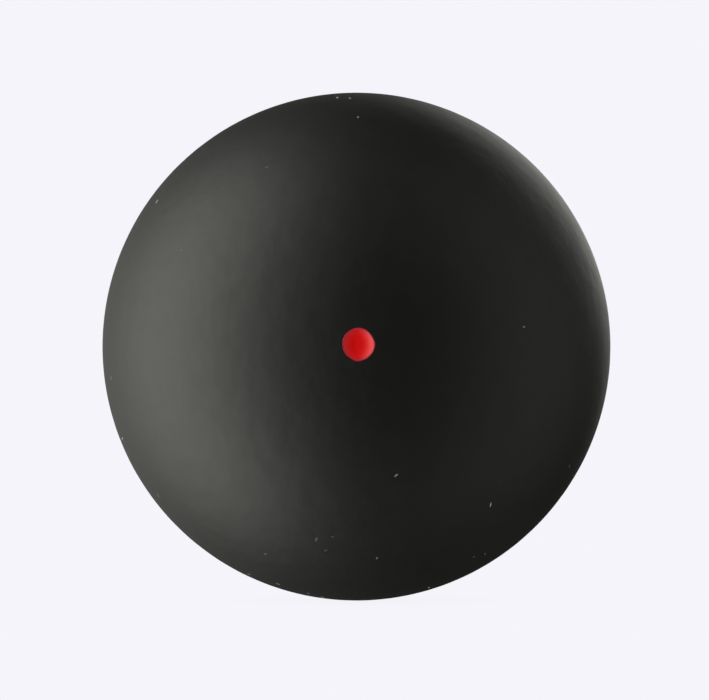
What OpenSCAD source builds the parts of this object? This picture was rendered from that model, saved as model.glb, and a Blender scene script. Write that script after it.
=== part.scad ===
// Squash ball: a hollow rubber sphere made of two moulded half shells, cemented edge to
// edge and ground all over to a matt skin. One half shell has a small moulded dish, and
// the paint in it makes the coloured dot that tells players how the ball bounces.
// The origin is the ball's centre, the dot faces -Y, the joint lies in the XZ plane and
// +Z is up. Sizes are in millimetres.

/* [Ball] */
// Outside diameter of the finished ball
ball_d = 40; // [38:0.1:60]
// Thickness of the rubber wall
wall = 5.2; // [3.5:0.1:7]

/* [Joint] */
// Thickness of the cured cement between the edges of the two half shells
cement_film = 0.16; // [0.1:0.01:0.3]
// Depth of the hairline that marks the joint on the outside
hairline = 0.05; // [0.02:0.01:0.2]
// Width of the bevel on the inner edge of each half shell
bevel = 0.6; // [0.5:0.05:1.2]
// Width of the bead of cement that squeezes out between the bevels
bead_w = 0.8; // [0.5:0.05:0.95]
// Height of the bead's round face above its own edges
bead_rise = 0.18; // [0.05:0.01:0.25]

/* [Colour dot] */
// Width of the dot, which fills its dish out to the ball's skin
dot_d = 2.5; // [2.1:0.1:4]
// Width of the flat middle of the dish
dish_flat_d = 0.5; // [0.2:0.1:1.2]
// Slope of the dish's curved wall where it meets the ball's skin, in degrees
dish_slope = 48; // [30:1:60]
// Thickness of the paint on the dish's floor and wall
paint_film = 0.08; // [0.04:0.01:0.12]

/* [Hidden] */
$fn = 240;

rubber_black = [0.11, 0.11, 0.105];
cement_black = [0.17, 0.165, 0.155];
dot_red = [0.78, 0.05, 0.07];

ball_r = ball_d / 2;
cavity_r = ball_r - wall;
// How far a cutting outline runs past what it cuts
overrun = wall;

// Distances from the axis to the root of the V between the two bevels, and to the edges
// of the bead on the bevels
bevel_root_r = cavity_r + bevel;
bead_edge_r = bevel_root_r - (bead_w - cement_film) / 2;

// The dish's wall is an arc that leaves the flat floor level and has the given slope
// where it meets the ball's skin.
dish_wall_r = (dot_d - dish_flat_d) / 2 / sin(dish_slope);
dish_edge = [dot_d / 2, sqrt(pow(ball_r, 2) - pow(dot_d / 2, 2))];
dish_wall_centre = dish_edge - dish_wall_r * [sin(dish_slope), -cos(dish_slope)];

// Radius of the arc that rises by a given height over a chord of a given half width
function cap_radius(half_w, rise) = (half_w * half_w + rise * rise) / (2 * rise);

// The outlines below are sections through the ball's axis: X is the distance from the
// axis and Y is the height above the middle of the joint.

// All that lies above a given height, on the positive side of the axis.
module section_above(height) {
    translate([0, height])
        square([ball_r + overrun, ball_r + overrun]);
}

// The V between the two bevels, open towards the hollow.
module bevel_section() {
    depth = bevel + overrun;
    polygon([
        [bevel_root_r, -cement_film / 2],
        [bevel_root_r, cement_film / 2],
        [bevel_root_r - depth, cement_film / 2 + depth],
        [bevel_root_r - depth, -cement_film / 2 - depth]
    ]);
}

// One half shell, from its joint face up to the pole.
module half_shell_section() {
    intersection() {
        difference() {
            circle(ball_r);
            circle(cavity_r);
            bevel_section();
        }
        section_above(cement_film / 2);
    }
}

// The hollow of the dish, kept clear of its floor and wall by the given film.
module dish_section(film) {
    arc_r = dish_wall_r - film;
    intersection() {
        translate(dish_wall_centre)
            circle(arc_r);
        section_above(0);
    }
    translate([0, dish_wall_centre.y - arc_r])
        square([dish_flat_d / 2, 2 * arc_r]);
}

// An even film on the dish's floor and wall, flush with the ball's skin at its rim.
module dot_section() {
    difference() {
        intersection() {
            circle(ball_r);
            dish_section(0);
        }
        dish_section(paint_film);
    }
}

// The flat film between the joint faces, and the round bead on its inner edge.
module cement_section() {
    translate([bevel_root_r, -cement_film / 2])
        square([ball_r - hairline - bevel_root_r, cement_film]);
    bead_r = cap_radius(bead_w / 2, bead_rise);
    intersection() {
        bevel_section();
        translate([bead_edge_r - bead_rise + bead_r, 0])
            circle(bead_r);
    }
}

// Turns a section about the ball's axis, with its pole towards -Y.
module turn_front() {
    rotate([90, 0, 0])
        rotate_extrude()
            children();
}

// Turns a section about the ball's axis, with its pole towards +Y.
module turn_rear() {
    rotate([-90, 0, 0])
        rotate_extrude()
            children();
}

module front_half_shell() {
    color(rubber_black)
        turn_front()
            difference() {
                half_shell_section();
                dish_section(0);
            }
}

module rear_half_shell() {
    color(rubber_black)
        turn_rear()
            half_shell_section();
}

module seam_cement() {
    color(cement_black)
        turn_front()
            cement_section();
}

module red_dot() {
    color(dot_red)
        turn_front()
            dot_section();
}

front_half_shell();
rear_half_shell();
seam_cement();
red_dot();
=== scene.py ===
"""The look of a squash ball: two half shells of matt black rubber, the cement in their
joint and a red dot painted into a small dish. Lengths are in metres. The ball's centre is
the origin and the dot faces -Y."""
import math

import bpy
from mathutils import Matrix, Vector, noise


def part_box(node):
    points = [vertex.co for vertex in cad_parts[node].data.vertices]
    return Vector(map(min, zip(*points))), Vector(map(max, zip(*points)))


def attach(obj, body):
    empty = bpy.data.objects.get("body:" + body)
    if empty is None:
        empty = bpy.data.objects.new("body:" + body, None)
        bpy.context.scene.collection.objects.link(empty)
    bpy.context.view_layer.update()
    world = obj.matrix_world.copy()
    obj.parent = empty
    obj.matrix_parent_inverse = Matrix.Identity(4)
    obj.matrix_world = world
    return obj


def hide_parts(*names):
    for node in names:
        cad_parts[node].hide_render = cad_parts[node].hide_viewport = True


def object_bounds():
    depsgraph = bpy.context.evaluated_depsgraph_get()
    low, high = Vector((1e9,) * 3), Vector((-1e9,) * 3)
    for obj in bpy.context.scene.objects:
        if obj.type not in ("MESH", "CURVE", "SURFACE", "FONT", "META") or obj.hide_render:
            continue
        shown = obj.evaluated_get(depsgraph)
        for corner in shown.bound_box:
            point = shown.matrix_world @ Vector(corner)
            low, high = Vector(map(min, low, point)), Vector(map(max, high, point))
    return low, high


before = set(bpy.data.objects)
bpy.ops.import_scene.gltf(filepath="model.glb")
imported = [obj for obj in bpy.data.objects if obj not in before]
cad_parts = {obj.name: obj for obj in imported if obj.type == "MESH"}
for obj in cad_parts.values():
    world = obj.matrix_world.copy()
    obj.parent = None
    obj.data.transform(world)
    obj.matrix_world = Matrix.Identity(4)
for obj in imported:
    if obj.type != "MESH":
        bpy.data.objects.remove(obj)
cad_low, cad_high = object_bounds()

MM = 0.001
TURN = 2 * math.pi

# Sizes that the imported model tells
BALL_R = cad_high.y
JOINT_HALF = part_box("rear_half_shell")[0].y
CEMENT_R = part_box("seam_cement")[1].x
BEAD_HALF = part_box("seam_cement")[1].y
DISH_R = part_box("red_dot")[1].x
DISH_FLOOR = -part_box("red_dot")[1].y

# Sizes of the source that a box doesn't tell
WALL = 5.2 * MM
BEVEL = 0.6 * MM
BEAD_RISE = 0.18 * MM
DISH_FLAT_R = 0.25 * MM
PAINT_FILM = 0.08 * MM

CAVITY_R = BALL_R - WALL
BEVEL_ROOT_R = CAVITY_R + BEVEL
LIP_HEIGHT = math.sqrt(BALL_R ** 2 - DISH_R ** 2)
DISH_DEPTH = LIP_HEIGHT - DISH_FLOOR
DISH_WALL_R = ((DISH_R - DISH_FLAT_R) ** 2 + DISH_DEPTH ** 2) / (2 * DISH_DEPTH)

# The finish of the edges and of the ground skin
LIP_SOFTNESS = 0.02 * MM
EDGE_ROUND = 0.035 * MM
SKIN_STEP = 1.1 * MM
SKIN_RELIEF = 0.01 * MM
CEMENT_STEP = 1.3 * MM
CEMENT_RELIEF = 0.012 * MM
BEAD_STEP = 2.5 * MM
BEAD_SHRINK_SHARE = 0.35

# The paint: its outline is nearly round, with shares of its mean radius every 30 degrees
# from the right of the photograph, counted anticlockwise
PAINT_R = 1.232 * MM
PAINT_OUTLINE_SHARES = [
    1.03, 0.976, 1.018, 1.03, 1.002, 1.008, 0.968, 0.98, 0.973, 1.01, 0.984, 0.988]
PAINT_SOFTNESS = 0.03 * MM
PAINT_SKIN = 0.004 * MM
PAINT_EDGE = 0.07 * MM
PAINT_SEAT = 0.002 * MM
# From here out to the paint's outline its colour turns darker for thin, worn paint, and pinker
# as a painted reflection of the lights on its edge
PAINT_WORN_SHEEN_START = 0.94 * MM
PAINT_WORN_SHEEN_END = 1.26 * MM

# How finely the pieces are divided
SHELL_SEGMENTS = 432
SKIN_RINGS = 138
CAVITY_RINGS = 24
CORNER_STEPS = 4
DISH_FLAT_RINGS = 5
DISH_WALL_RINGS = 10
LIP_RINGS = 14
LIP_ZONE = 0.08 * MM
DISH_ZONE_RINGS = 4
DISH_ZONE_R = 1.7 * MM
PAINT_SEGMENTS = 192
PAINT_RINGS = 30
PAINT_EDGE_RINGS = 12
BEAD_STEPS = 10
FLOOR_SEGMENTS = 96
SHARP_DEGREES = 38

# The photograph in pixels: its size, the ball's centre and radius in it, and the dot's
# centre
PHOTO_W = 709
PHOTO_H = 700
MIDDLE_PX = ((PHOTO_W - 1) / 2, (PHOTO_H - 1) / 2)
BALL_PX = (355.96, 346.09)
BALL_R_PX = 254.03
DOT_PX = (357.8, 344.1)

# The camera: its distance from the ball's centre, the range that it sees, and the width of
# its sensor in millimetres
CAMERA_DISTANCE = 0.42
CAMERA_NEAR = 0.01
CAMERA_FAR = 20
SENSOR = 36

# Dust and lint on the skin: pixel across and down, length in pixels, lean from level in
# degrees, share of DUST_HALF, and strength
DUST = [
    (395.7, 474.9, 2.4, 38, 1.1, 0.5),
    (490.2, 504.4, 3.0, 84, 0.9, 1),
    (156.3, 200.8, 1.7, 64, 1.6, 0.7),
    (266.0, 166.6, 1.6, 0, 1, 0.2),
    (180.6, 249.6, 1.6, 0, 1, 0.08),
    (357.5, 116.5, 1.2, 90, 1, 0.55),
    (336.8, 97.0, 0.9, 90, 1.6, 0.65),
    (349.3, 97.6, 1.2, 90, 1.5, 0.42),
    (523.5, 326.3, 0.6, 14, 1.15, 0.46),
    (110.4, 377.6, 2.0, 90, 1.2, 0.3),
    (121.6, 438.2, 2.0, 80, 1, 0.6),
    (157.6, 495.2, 2.2, 120, 1, 0.28),
    (315.7, 539.0, 3.0, 69, 1.1, 0.19),
    (331.8, 536.4, 1.6, 0, 1.1, 0.14),
    (325.3, 550.0, 2.2, 21, 1, 0.17),
    (264.7, 553.5, 1.6, 0, 1.2, 0.28),
    (249.8, 572.0, 0.8, 0, 1.2, 0.2),
    (248.0, 573.9, 0.7, -20, 1.5, 1),
    (277.6, 583.5, 2.2, -22, 1.5, 0.55),
    (376.4, 557.6, 0.8, 90, 1, 0.65),
    (484.6, 553.4, 1.6, 73, 1.2, 0.27),
    (473.5, 556.6, 0.4, 0, 1.4, 0.36),
    (500.6, 479.8, 1.4, 59, 1, 0.09),
    (569.1, 465.5, 1.4, 90, 1.3, 0.28),
    (428.4, 587.2, 1.0, 73, 1, 1),
    (321.8, 596.6, 0.9, 0, 1.7, 1),
    (307.6, 593.1, 0.8, 79, 1.6, 0.22),
]
DUST_HALF = 0.075 * MM

# Stray dust behind the joint: where it starts, how close its places lie, its largest size
# and the core of it, the share of the places that are taken, and its strength
STRAY_START = 1 * MM
STRAY_PER_MM = 0.5
STRAY_HALF = 0.096 * MM
STRAY_CORE = 0.052 * MM
STRAY_SHARE = 0.4
STRAY_STRENGTH = 0.6

# Depths of the finest unevenness: long scuffs and fine grain of the rubber, the drawn skin
# of the cement and the orange peel of the paint
SCUFF_DEPTH = 0.06 * MM
GRAIN_DEPTH = 0.0012 * MM
DRAWN_DEPTH = 0.004 * MM
PEEL_DEPTH = 0.0015 * MM

# How strongly the materials bend light
RUBBER_IOR = 1.5
PAINT_IOR = 1.59

# Colours, as amounts of red, green and blue light
RUBBER_DARK = (0.0034, 0.0034, 0.0031, 1)
RUBBER_LIGHT = (0.0046, 0.0047, 0.0043, 1)
DUST_GREY = (0.42, 0.41, 0.39, 1)
CEMENT_DARK = (0.006, 0.0055, 0.0045, 1)
CEMENT_LIGHT = (0.012, 0.011, 0.009, 1)
PAINT_DARK = (0.65, 0.0008, 0.002, 1)
PAINT_LIGHT = (0.7, 0.0014, 0.0028, 1)
# The paint's edge: darker for thin, worn paint, and pinker from a painted reflection of the
# lights
PAINT_WORN_EDGE_AND_SHEEN = (0.36, 0.013, 0.034, 1)
BACKDROP = (0.913, 0.905, 0.956, 1)
GREY_CARD = (0.8, 0.8, 0.8, 1)
LIGHT_COLOUR = (0.984, 1, 0.925)
RIM_COLOUR = (0.996, 1, 0.942)

# The range that most of a noise lies in
NOISE_LOW = 0.3
NOISE_HIGH = 0.7

# The stage: the radii of the floor's rings and of the shadow under the ball, how dark that
# shadow may get, and the distance of the lights
FLOOR_RADII = (0.02, 0.1, 0.5, 6)
SHADOW_R = 14 * MM
SHADOW_SHARE = 0.04
LIGHT_DISTANCE = 0.7


def in_front(radius, angle, height):
    """A point of the front half, from its distance from the axis and its height."""
    return Vector((radius * math.cos(angle), -height, radius * math.sin(angle)))


def behind(radius, angle, height):
    """A point of the rear half, from its distance from the axis and its height."""
    return Vector((radius * math.cos(angle), height, -radius * math.sin(angle)))


def angles(count):
    return [TURN * i / count for i in range(count)]


def steps(start, end, count):
    """Even steps from start up to, but not with, end."""
    return [start + (end - start) * i / count for i in range(count)]


def soft_min(a, b, softness):
    """The smaller of two heights, with the corner between them rounded."""
    near = max(softness - abs(a - b), 0)
    return min(a, b) - near * near / (4 * softness)


def faces_between(first, first_count, second, second_count):
    """The faces between two neighbouring rings, one of which may be a single point."""
    count = max(first_count, second_count)
    faces = []
    for i in range(count):
        j = (i + 1) % count
        if first_count == 1:
            faces.append((first, second + j, second + i))
        elif second_count == 1:
            faces.append((first + i, first + j, second))
        else:
            faces.append((first + i, first + j, second + j, second + i))
    return faces


def new_object(name, points, faces, material):
    """An object in the scene with a mesh of its own."""
    mesh = bpy.data.meshes.new(name)
    mesh.from_pydata(points, [], faces)
    mesh.materials.append(material)
    made = bpy.data.objects.new(name, mesh)
    bpy.context.scene.collection.objects.link(made)
    return made


def ringed_piece(name, rings, material, node, loops=False):
    """A smooth piece skinned over rings of points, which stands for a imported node. The
    last ring meets the first one where the section loops."""
    points = []
    starts = []
    for ring in rings:
        starts.append(len(points))
        points.extend(ring)
    order = list(range(len(rings)))
    if loops:
        order.append(0)
    faces = []
    for a, b in zip(order, order[1:]):
        faces.extend(faces_between(starts[a], len(rings[a]), starts[b], len(rings[b])))
    piece = new_object(name, points, faces, material)
    piece.data.shade_smooth()
    piece.data.set_sharp_from_angle(angle=math.radians(SHARP_DEGREES))
    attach(piece, "root")
    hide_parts(node)
    return piece


def skin_height(radius):
    """Height of the ball's skin over its middle, at a distance from the axis."""
    return math.sqrt(BALL_R ** 2 - radius ** 2)


def dish_height(radius, film):
    """Height of the dish's floor and wall, raised by a film laid on them."""
    arc_r = DISH_WALL_R - film
    out = min(max(radius - DISH_FLAT_R, 0), arc_r)
    return DISH_FLOOR + DISH_WALL_R - math.sqrt(arc_r ** 2 - out ** 2)


def rubber_height(radius):
    """Height of the front shell's rubber: dish, softened lip and skin."""
    return soft_min(dish_height(radius, 0), skin_height(radius), LIP_SOFTNESS)


def corner(start, tip, end):
    """A rounded corner as points of a section, from start by way of tip to end."""
    found = []
    for i in range(CORNER_STEPS + 1):
        t = i / CORNER_STEPS
        a, b, c = (1 - t) ** 2, 2 * t * (1 - t), t * t
        found.append(tuple(a * s + b * m + c * e for s, m, e in zip(start, tip, end)))
    return found


def ground(point, share):
    """A point of the skin, pressed in by the faint unevenness that the grinding leaves."""
    swell = (1 + noise.noise(point / SKIN_STEP)) / 2
    return point * (1 - share * SKIN_RELIEF * swell / point.length)


def ground_share(radius):
    """How much of the skin's unevenness a ring takes: none at the moulded lip."""
    return min(max((radius - DISH_R) / (DISH_ZONE_R - DISH_R), 0), 1)


def joint_section():
    """The section from the skin's edge, over the joint face and the bevel, to the hollow."""
    face_r = math.sqrt(BALL_R ** 2 - JOINT_HALF ** 2)
    edge_height = JOINT_HALF + EDGE_ROUND
    start = (math.sqrt(BALL_R ** 2 - edge_height ** 2), edge_height)
    section = corner(start, (face_r, JOINT_HALF), (face_r - EDGE_ROUND, JOINT_HALF))
    section.append((BEVEL_ROOT_R, JOINT_HALF))
    short = BEVEL_ROOT_R - JOINT_HALF
    spare = BEVEL_ROOT_R ** 2 + JOINT_HALF ** 2 - CAVITY_R ** 2
    run = (short - math.sqrt(short ** 2 - 2 * spare)) / 2
    section.append((BEVEL_ROOT_R - run, JOINT_HALF + run))
    return section


def cavity_section():
    """The section of the hollow, from the bevel to the pole."""
    radius, height = joint_section()[-1]
    start = math.atan2(radius, height)
    turns = steps(start, 0, CAVITY_RINGS)[1:]
    return [(CAVITY_R * math.sin(t), CAVITY_R * math.cos(t)) for t in turns]


def dish_section():
    """The section from the middle of the dish to the skin round it."""
    radii = steps(0, DISH_FLAT_R, DISH_FLAT_RINGS)[1:]
    radii += steps(DISH_FLAT_R, DISH_R - LIP_ZONE, DISH_WALL_RINGS)
    radii += steps(DISH_R - LIP_ZONE, DISH_R + LIP_ZONE, LIP_RINGS)
    radii += steps(DISH_R + LIP_ZONE, DISH_ZONE_R, DISH_ZONE_RINGS)
    return [(r, rubber_height(r)) for r in radii]


def skin_section(start_r):
    """The section of the skin from a distance from the axis to the joint's edge."""
    start = math.asin(start_r / BALL_R)
    end = math.acos((JOINT_HALF + EDGE_ROUND) / BALL_R)
    return [(BALL_R * math.sin(t), BALL_R * math.cos(t)) for t in steps(start, end, SKIN_RINGS)]


def shell_rings(place, pole_height, outside):
    """The rings of a half shell, from the outer pole over the joint to the inner pole."""
    turn = angles(SHELL_SEGMENTS)
    rings = [[place(0, 0, pole_height)]]
    for radius, height in outside:
        share = ground_share(radius)
        rings.append([ground(place(radius, a, height), share) for a in turn])
    for radius, height in joint_section() + cavity_section():
        rings.append([place(radius, a, height) for a in turn])
    rings.append([place(0, 0, CAVITY_R)])
    return rings


def front_half_shell(material):
    outside = dish_section() + skin_section(DISH_ZONE_R)
    rings = shell_rings(in_front, rubber_height(0), outside)
    return ringed_piece("front_half_shell_moulded", rings, material, "front_half_shell")


def rear_half_shell(material):
    first = BALL_R / SKIN_RINGS
    rings = shell_rings(behind, BALL_R, skin_section(first))
    return ringed_piece("rear_half_shell_moulded", rings, material, "rear_half_shell")


def seam_cement(material):
    """The cured film between the joint faces, a little uneven where the grinding met it,
    and the bead that squeezed out between the bevels by more or less."""
    columns = []
    for angle in angles(SHELL_SEGMENTS):
        around = in_front(CEMENT_R, angle, 0)
        uneven = noise.noise(around / CEMENT_STEP)
        squeezed = (1 + noise.noise(around / BEAD_STEP)) / 2
        half = BEAD_HALF * (1 - BEAD_SHRINK_SHARE * squeezed)
        edge_r = BEVEL_ROOT_R - (half - JOINT_HALF)
        outer_r = CEMENT_R + CEMENT_RELIEF * uneven
        section = [(outer_r, -JOINT_HALF), (outer_r, JOINT_HALF), (BEVEL_ROOT_R, JOINT_HALF)]
        for i in range(BEAD_STEPS + 1):
            t = math.pi * i / BEAD_STEPS
            section.append((edge_r - BEAD_RISE * math.sin(t), half * math.cos(t)))
        section.append((BEVEL_ROOT_R, -JOINT_HALF))
        columns.append([in_front(r, angle, h) for r, h in section])
    rings = [list(ring) for ring in zip(*columns)]
    return ringed_piece(
        "seam_cement_squeezed", rings, material, "seam_cement", loops=True)


def paint_edge(angle):
    """Radius of the paint's outline at an angle."""
    count = len(PAINT_OUTLINE_SHARES)
    place = angle / TURN * count
    start = math.floor(place)
    t = place - start
    a, b, c, d = (PAINT_OUTLINE_SHARES[(start + i) % count] for i in (-1, 0, 1, 2))
    bend = t * (c - a) + t ** 2 * (2 * a - 5 * b + 4 * c - d) + t ** 3 * (3 * b - a - 3 * c + d)
    return PAINT_R * (b + bend / 2)


def paint_height(radius, edge):
    """Height of the paint's face: an even film on the dish, which levels out at the skin
    and ends in a round edge."""
    level = skin_height(radius) + PAINT_SKIN
    film = soft_min(dish_height(radius, PAINT_FILM), level, PAINT_SOFTNESS)
    inside = min((edge - radius) / PAINT_EDGE, 1)
    rise = PAINT_FILM * math.sqrt(max(1 - (1 - inside) ** 2, 0))
    rubber_face = rubber_height(radius)
    return rubber_face + soft_min(film - rubber_face, rise, PAINT_SOFTNESS / 2)


def red_dot(material):
    edge_start = 1 - PAINT_EDGE / PAINT_R
    shares = steps(0, edge_start, PAINT_RINGS)[1:]
    for i in range(PAINT_EDGE_RINGS + 1):
        t = math.pi / 2 * i / PAINT_EDGE_RINGS
        shares.append(edge_start + (1 - edge_start) * math.sin(t))
    turn = [(a, paint_edge(a)) for a in angles(PAINT_SEGMENTS)]
    rings = [[in_front(0, 0, paint_height(0, PAINT_R))]]
    for share in shares:
        rings.append([in_front(share * e, a, paint_height(share * e, e)) for a, e in turn])
    for share in reversed(shares[::2]):
        seat = [(share * e, a) for a, e in turn]
        rings.append([in_front(r, a, rubber_height(r) - PAINT_SEAT) for r, a in seat])
    rings.append([in_front(0, 0, DISH_FLOOR - PAINT_SEAT)])
    return ringed_piece("red_dot_painted", rings, material, "red_dot")


class Shading:
    """A material's nodes, added one by one. An input is a socket or a plain value."""

    def __init__(self, name):
        self.material = bpy.data.materials.new(name)
        self.material.use_nodes = True
        self.tree = self.material.node_tree
        self.tree.nodes.clear()

    def add(self, kind, inputs, **settings):
        node = self.tree.nodes.new(kind)
        for setting, value in settings.items():
            setattr(node, setting, value)
        for socket, value in inputs.items():
            if isinstance(value, bpy.types.NodeSocket):
                self.tree.links.new(value, node.inputs[socket])
            else:
                node.inputs[socket].default_value = value
        return node

    def math(self, operation, a, b, clamp=False):
        node = self.add("ShaderNodeMath", {0: a, 1: b}, operation=operation, use_clamp=clamp)
        return node.outputs[0]

    def vector(self, operation, a, b):
        node = self.add("ShaderNodeVectorMath", {0: a, 1: b}, operation=operation)
        return node.outputs["Vector"]

    def dot(self, a, b):
        node = self.add("ShaderNodeVectorMath", {0: a, 1: b}, operation="DOT_PRODUCT")
        return node.outputs["Value"]

    def scaled(self, vector, share):
        node = self.add("ShaderNodeVectorMath", {0: vector, "Scale": share}, operation="SCALE")
        return node.outputs["Vector"]

    def length(self, vector):
        node = self.add("ShaderNodeVectorMath", {0: vector}, operation="LENGTH")
        return node.outputs["Value"]

    def millimetres(self):
        """The place on the piece, in millimetres."""
        return self.scaled(self.add("ShaderNodeTexCoord", {}).outputs["Object"], 1 / MM)

    def noise(self, place, per_mm, detail, roughness=0.5):
        inputs = {"Vector": place, "Scale": per_mm, "Detail": detail, "Roughness": roughness}
        return self.add("ShaderNodeTexNoise", inputs).outputs["Fac"]

    def spread(self, value, low, high, to_low, to_high):
        """A value from one range, carried over to another and kept inside it."""
        inputs = {"Value": value, "From Min": low, "From Max": high,
                  "To Min": to_low, "To Max": to_high}
        return self.add("ShaderNodeMapRange", inputs).outputs["Result"]

    def drift(self, cloud, low, high):
        """A value that drifts between two others with a noise."""
        return self.spread(cloud, NOISE_LOW, NOISE_HIGH, low, high)

    def mix(self, share, first, second):
        """A colour between two others."""
        inputs = {"Factor": share, 6: first, 7: second}
        return self.add("ShaderNodeMix", inputs, data_type="RGBA").outputs[2]

    def bump(self, height, depth, normal=None):
        inputs = {"Height": height, "Distance": depth, "Strength": 1}
        if normal is not None:
            inputs["Normal"] = normal
        return self.add("ShaderNodeBump", inputs).outputs["Normal"]

    def finish(self, shader):
        self.add("ShaderNodeOutputMaterial", {"Surface": shader})
        return self.material

    def finish_surface(self, colour, rough, ior, normal):
        inputs = {"Base Color": colour, "Roughness": rough, "IOR": ior, "Normal": normal}
        return self.finish(self.add("ShaderNodeBsdfPrincipled", inputs).outputs[0])


def seen_at(across, down):
    """The point of the skin that the photograph shows at a pixel."""
    eye, ahead, right, up = camera_axes()
    focal = focal_px()
    right_share = (across - MIDDLE_PX[0]) / focal
    down_share = (down - MIDDLE_PX[1]) / focal
    ray = ahead + right * right_share - up * down_share
    ray.normalize()
    closest = -eye.dot(ray)
    gap = eye.length_squared - closest ** 2
    return eye + ray * (closest - math.sqrt(max(BALL_R ** 2 - gap, 0)))


def speck_mask(shading, place, speck):
    """1 on a speck of dust or a short fibre of lint, and 0 off it."""
    across, down, length, lean, breadth_share, strength = speck
    reach = Vector((math.cos(math.radians(lean)), -math.sin(math.radians(lean)))) * length / 2
    start = seen_at(across - reach.x, down - reach.y) / MM
    run = seen_at(across + reach.x, down + reach.y) / MM - start
    off = shading.vector("SUBTRACT", place, start)
    along = shading.math("MULTIPLY", shading.dot(off, run / run.length_squared), 1, clamp=True)
    off = shading.vector("SUBTRACT", off, shading.scaled(run, along))
    half = DUST_HALF / MM * breadth_share
    return shading.spread(shading.length(off), half / 2, half, strength, 0)


def stray_mask(shading, place):
    """1 on stray dust of the rear half, and 0 off it."""
    cells = shading.add("ShaderNodeTexVoronoi", {"Vector": place, "Scale": STRAY_PER_MM})
    core, half = (size / MM * STRAY_PER_MM for size in (STRAY_CORE, STRAY_HALF))
    grain = shading.spread(cells.outputs["Distance"], core, half, STRAY_STRENGTH, 0)
    pick = shading.add("ShaderNodeSeparateColor", {"Color": cells.outputs["Color"]}).outputs[0]
    chosen = shading.math("GREATER_THAN", pick, 1 - STRAY_SHARE)
    depth = shading.add("ShaderNodeSeparateXYZ", {"Vector": place}).outputs["Y"]
    rear = shading.math("GREATER_THAN", depth, STRAY_START / MM)
    return shading.math("MULTIPLY", shading.math("MULTIPLY", grain, chosen), rear)


def dust_mask(shading, place):
    """The specks that the photograph shows, and sparse stray dust on the rear half."""
    mask = stray_mask(shading, place)
    for speck in DUST:
        mask = shading.math("MAXIMUM", mask, speck_mask(shading, place, speck))
    return mask


def matt_rubber():
    """Black rubber with a ground skin: very dark, dull and faintly uneven."""
    s = Shading("matt_rubber")
    place = s.millimetres()
    cloud = s.noise(place, per_mm=0.45, detail=5, roughness=0.6)
    colour = s.mix(s.drift(cloud, 0, 1), RUBBER_DARK, RUBBER_LIGHT)
    colour = s.mix(dust_mask(s, place), colour, DUST_GREY)
    rough = s.drift(s.noise(place, per_mm=0.9, detail=3), 0.585, 0.615)
    scuffs = s.bump(s.noise(place, per_mm=0.5, detail=3), SCUFF_DEPTH)
    grain = s.bump(s.noise(place, per_mm=24, detail=2), GRAIN_DEPTH, scuffs)
    return s.finish_surface(colour, rough, RUBBER_IOR, grain)


def cured_cement():
    """Rubber cement: a little browner and shinier than the rubber, with a drawn skin."""
    s = Shading("cured_cement")
    place = s.millimetres()
    cloud = s.noise(place, per_mm=1.6, detail=4)
    colour = s.mix(s.drift(cloud, 0, 1), CEMENT_DARK, CEMENT_LIGHT)
    rough = s.drift(s.noise(place, per_mm=4, detail=3), 0.54, 0.64)
    drawn = s.bump(s.noise(place, per_mm=7, detail=3), DRAWN_DEPTH)
    return s.finish_surface(colour, rough, RUBBER_IOR, drawn)


def red_paint():
    """Red enamel with a dull gloss and a faint orange peel. Its thin, worn edge is darker, and
    pinker from a painted reflection of the lights.
    """
    s = Shading("red_paint")
    place = s.millimetres()
    cloud = s.noise(place, per_mm=2.2, detail=3)
    colour = s.mix(s.drift(cloud, 0, 1), PAINT_DARK, PAINT_LIGHT)
    from_axis = s.length(s.vector("MULTIPLY", place, (1, 0, 1)))
    # Wear and painted reflection: the darker, pinker edge colour mixed in towards the outline
    worn_edge_and_sheen = s.spread(from_axis, PAINT_WORN_SHEEN_START / MM, PAINT_WORN_SHEEN_END / MM, 0, 1)
    colour = s.mix(worn_edge_and_sheen, colour, PAINT_WORN_EDGE_AND_SHEEN)
    rough = s.drift(s.noise(place, per_mm=5, detail=2), 0.515, 0.555)
    peel = s.bump(s.noise(place, per_mm=6, detail=2), PEEL_DEPTH)
    return s.finish_surface(colour, rough, PAINT_IOR, peel)


def pale_floor():
    """The floor glows in the backdrop's tone, so that no horizon shows, and takes the
    ball's shadow only near the point it rests on. From below it can't be seen."""
    s = Shading("pale_floor")
    share = s.spread(s.length(s.millimetres()), 0, SHADOW_R / MM, SHADOW_SHARE, 0)
    glow = s.add("ShaderNodeEmission", {"Color": BACKDROP, "Strength": 1})
    card = s.add("ShaderNodeBsdfDiffuse", {"Color": GREY_CARD})
    front = s.add("ShaderNodeMixShader", {0: share, 1: glow.outputs[0], 2: card.outputs[0]})
    clear = s.add("ShaderNodeBsdfTransparent", {})
    side = s.add("ShaderNodeNewGeometry", {}).outputs["Backfacing"]
    both = s.add("ShaderNodeMixShader", {0: side, 1: front.outputs[0], 2: clear.outputs[0]})
    return s.finish(both.outputs[0])


def floor():
    """A wide disc under the ball, which neither lights it nor shades it."""
    turn = angles(FLOOR_SEGMENTS)
    rings = [[Vector((0, 0, 0))]]
    for radius in FLOOR_RADII:
        rings.append([Vector((radius * math.cos(a), radius * math.sin(a), 0)) for a in turn])
    points = [p for ring in rings for p in ring]
    faces = []
    start = 0
    for inner, outer in zip(rings, rings[1:]):
        faces.extend(faces_between(start, len(inner), start + len(inner), len(outer)))
        start += len(inner)
    disc = new_object("floor", points, [tuple(reversed(f)) for f in faces], pale_floor())
    disc.location.z = -BALL_R
    disc.visible_diffuse = False
    disc.visible_glossy = False
    disc.visible_transmission = False
    disc.visible_shadow = False


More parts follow.
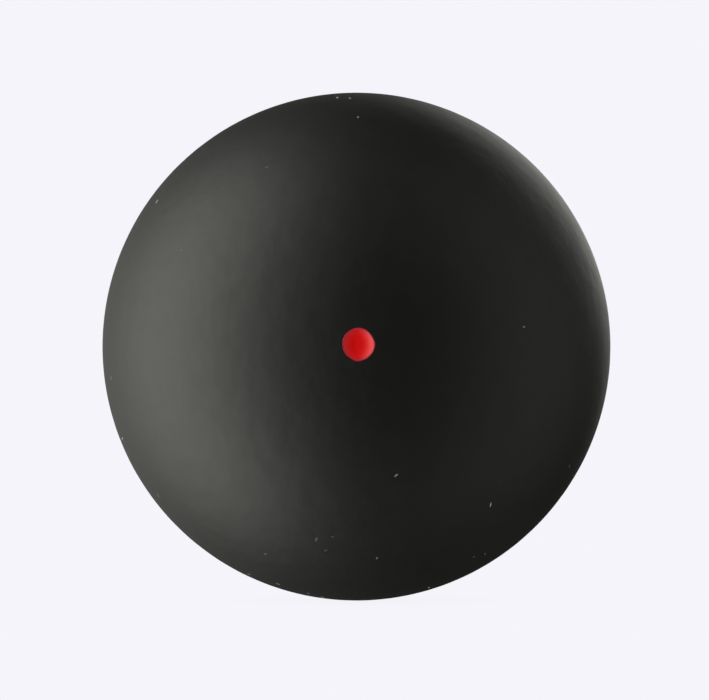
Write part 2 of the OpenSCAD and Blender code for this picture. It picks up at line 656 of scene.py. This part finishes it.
def backdrop():
    """The camera sees the backdrop's pale tone, and the ball sees no light from it."""
    world = bpy.data.worlds.new("backdrop")
    world.use_nodes = True
    tree = world.node_tree
    tree.nodes.clear()
    pale = tree.nodes.new("ShaderNodeBackground")
    pale.inputs["Color"].default_value = BACKDROP
    rays = tree.nodes.new("ShaderNodeLightPath")
    tree.links.new(rays.outputs["Is Camera Ray"], pale.inputs["Strength"])
    output = tree.nodes.new("ShaderNodeOutputWorld")
    tree.links.new(pale.outputs[0], output.inputs["Surface"])
    bpy.context.scene.world = world


def direction(azimuth, elevation):
    """A direction from the ball, in degrees round from the camera's side and up."""
    a, e = math.radians(azimuth), math.radians(elevation)
    return Vector((math.sin(a) * math.cos(e), -math.cos(a) * math.cos(e), math.sin(e)))


def softbox(name, azimuth, elevation, half_width, half_height, radiance, colour=LIGHT_COLOUR):
    """A soft light facing the ball. Its half sizes are shares of its distance."""
    light = bpy.data.lights.new(name, "AREA")
    light.shape = "RECTANGLE"
    light.size = 2 * half_width * LIGHT_DISTANCE
    light.size_y = 2 * half_height * LIGHT_DISTANCE
    light.energy = math.pi * light.size * light.size_y * radiance
    light.color = colour
    lamp = bpy.data.objects.new(name, light)
    bpy.context.scene.collection.objects.link(lamp)
    aim = direction(azimuth, elevation)
    lamp.location = aim * LIGHT_DISTANCE
    lamp.rotation_euler = (-aim).to_track_quat("-Z", "Y").to_euler()
    lamp.visible_camera = False
    return lamp


def lights():
    """Soft light from the left and, weaker, from the right, with a bright edge at the upper
    right and faint lights behind. The front light shows in no reflection."""
    softbox("key", -87.5, 0, 0.64, 2.02, 3.67)
    softbox("fill", 81, 0, 0.68, 2.5, 0.53)
    softbox("rim", 156.7, 18, 0.244, 0.242, 2.9, RIM_COLOUR)
    softbox("back_right", 161, 3, 0.14, 0.12, 1.5, RIM_COLOUR)
    softbox("back_left", -153, -2, 0.25, 0.35, 0.38)
    softbox("back_low", 154, -30, 0.12, 0.12, 0.18)
    front = softbox("front", -5, 0, 0.5, 0.5, 2.1)
    front.visible_glossy = False
    front.data.cycles.use_multiple_importance_sampling = False


def focal_px():
    """The lens's focal length in pixels, from the ball's size in the photograph."""
    return BALL_R_PX / math.tan(math.asin(BALL_R / CAMERA_DISTANCE))


def camera_axes():
    """The camera's place, and the directions ahead of it, to its right and up."""
    focal = focal_px()
    # The dot lies near_r_px * sin(t) away from the ball's centre when it is turned by t
    near_r_px = focal / (CAMERA_DISTANCE / BALL_R - 1)
    left = math.asin((DOT_PX[0] - BALL_PX[0]) / near_r_px)
    low = math.asin((BALL_PX[1] - DOT_PX[1]) / near_r_px)
    eye = -CAMERA_DISTANCE * Vector(
        (math.sin(left) * math.cos(low), math.cos(left) * math.cos(low), math.sin(low)))
    ahead = -eye.normalized()
    right = ahead.cross(Vector((0, 0, 1))).normalized()
    up = right.cross(ahead)
    off_x = (BALL_PX[0] - MIDDLE_PX[0]) / focal
    off_y = (MIDDLE_PX[1] - BALL_PX[1]) / focal
    ahead = (ahead - right * off_x - up * off_y).normalized()
    right = ahead.cross(Vector((0, 0, 1))).normalized()
    return eye, ahead, right, right.cross(ahead)


def camera():
    """A camera where the photograph's stood, with its framing."""
    data = bpy.data.cameras.new("camera")
    data.sensor_width = SENSOR
    data.lens = focal_px() * SENSOR / PHOTO_W
    data.clip_start = CAMERA_NEAR
    data.clip_end = CAMERA_FAR
    eye, ahead, _, _ = camera_axes()
    stand = bpy.data.objects.new("camera", data)
    bpy.context.scene.collection.objects.link(stand)
    stand.location = eye
    stand.rotation_euler = ahead.to_track_quat("-Z", "Y").to_euler()
    bpy.context.scene.camera = stand


camera()
backdrop()
floor()
lights()
rubber_material = matt_rubber()
front_half_shell(rubber_material)
rear_half_shell(rubber_material)
seam_cement(cured_cement())
red_dot(red_paint())
bpy.context.scene.view_settings.view_transform = "Standard"
